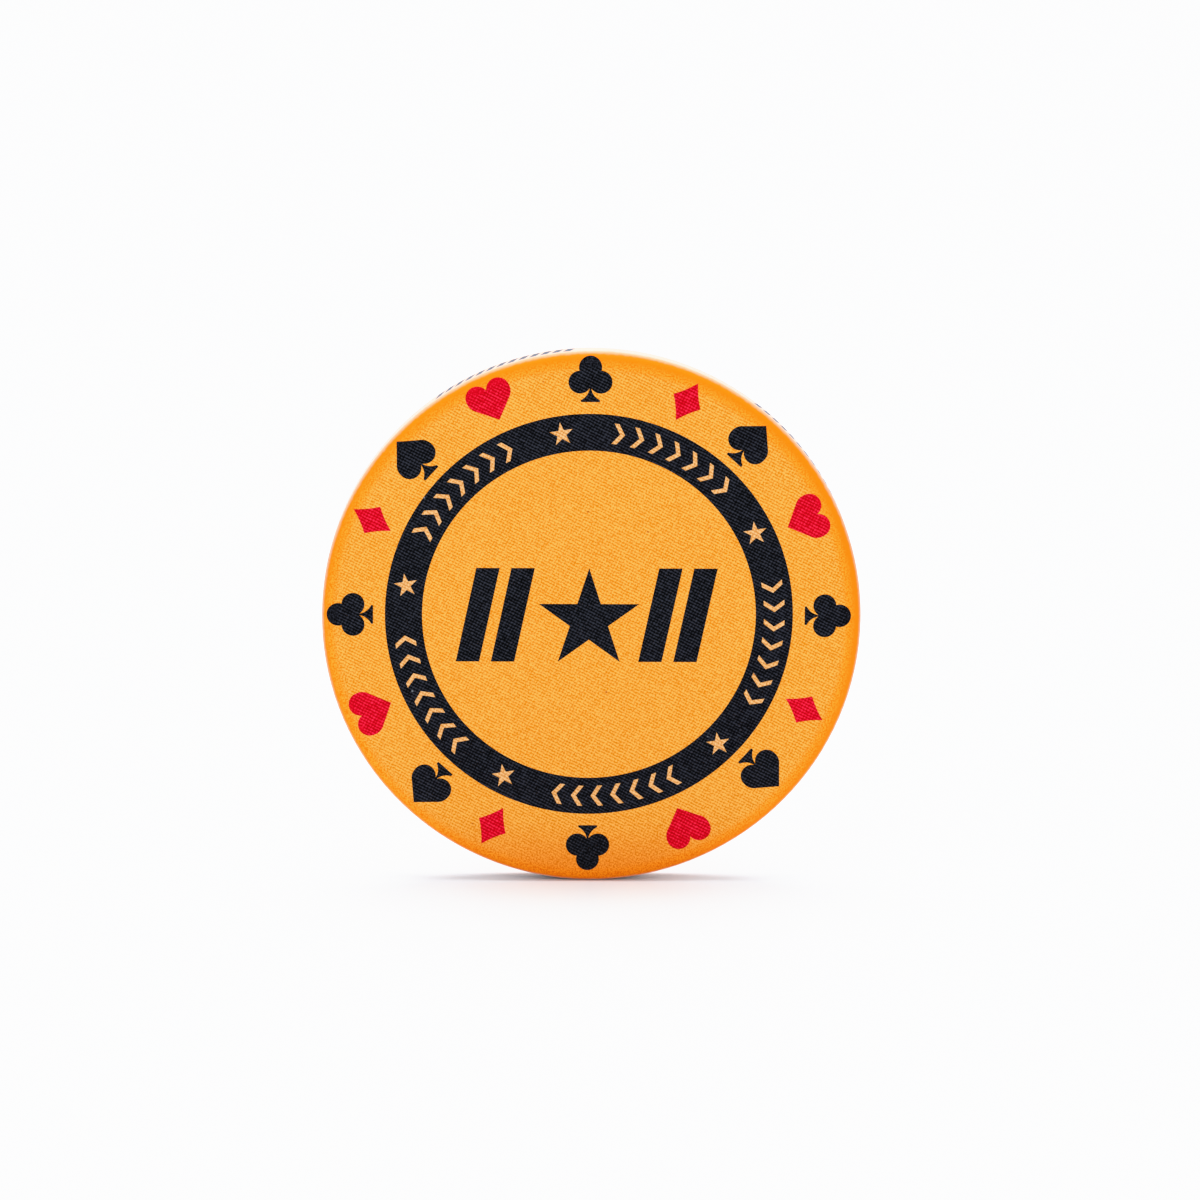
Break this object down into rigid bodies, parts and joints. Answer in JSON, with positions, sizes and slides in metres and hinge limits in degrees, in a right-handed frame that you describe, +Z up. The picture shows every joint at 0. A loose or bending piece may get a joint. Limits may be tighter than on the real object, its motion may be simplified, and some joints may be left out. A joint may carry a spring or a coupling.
{
  "type": "knockout button",
  "caption": "Round card-table marker disc with rounded edges, woven-look orange faces, a dark band, suit pips and a star emblem printed on both sides.",
  "frame": {"origin": "lowest point of the rim, midway between the two faces, with the disc standing on its rim", "axes": "+Z up, +Y along the disc's axis from the front face to the back face, +X to the right as seen from the front"},
  "size_m": [0.06, 0.0044, 0.06],
  "materials": {
    "blank_white": "satin",
    "orange_print": "matte",
    "black_print": "matte",
    "red_print": "matte",
    "peach_print": "matte",
    "edge_print": "satin"
  },
  "bodies": {
    "root": {"blank": "blank_white", "edge_bars": "edge_print", "front_border": "orange_print", "front_clubs": "black_print", "front_hearts": "red_print", "front_spades": "black_print", "front_diamonds": "red_print", "front_band": "black_print", "front_chevrons": "peach_print", "front_stars": "peach_print", "front_centre_field": "orange_print", "front_emblem": "black_print", "back_border": "orange_print", "back_clubs": "black_print", "back_hearts": "red_print", "back_spades": "black_print", "back_diamonds": "red_print", "back_band": "black_print", "back_chevrons": "peach_print", "back_stars": "peach_print", "back_centre_field": "orange_print", "back_emblem": "black_print"}
  },
  "joints": []
}
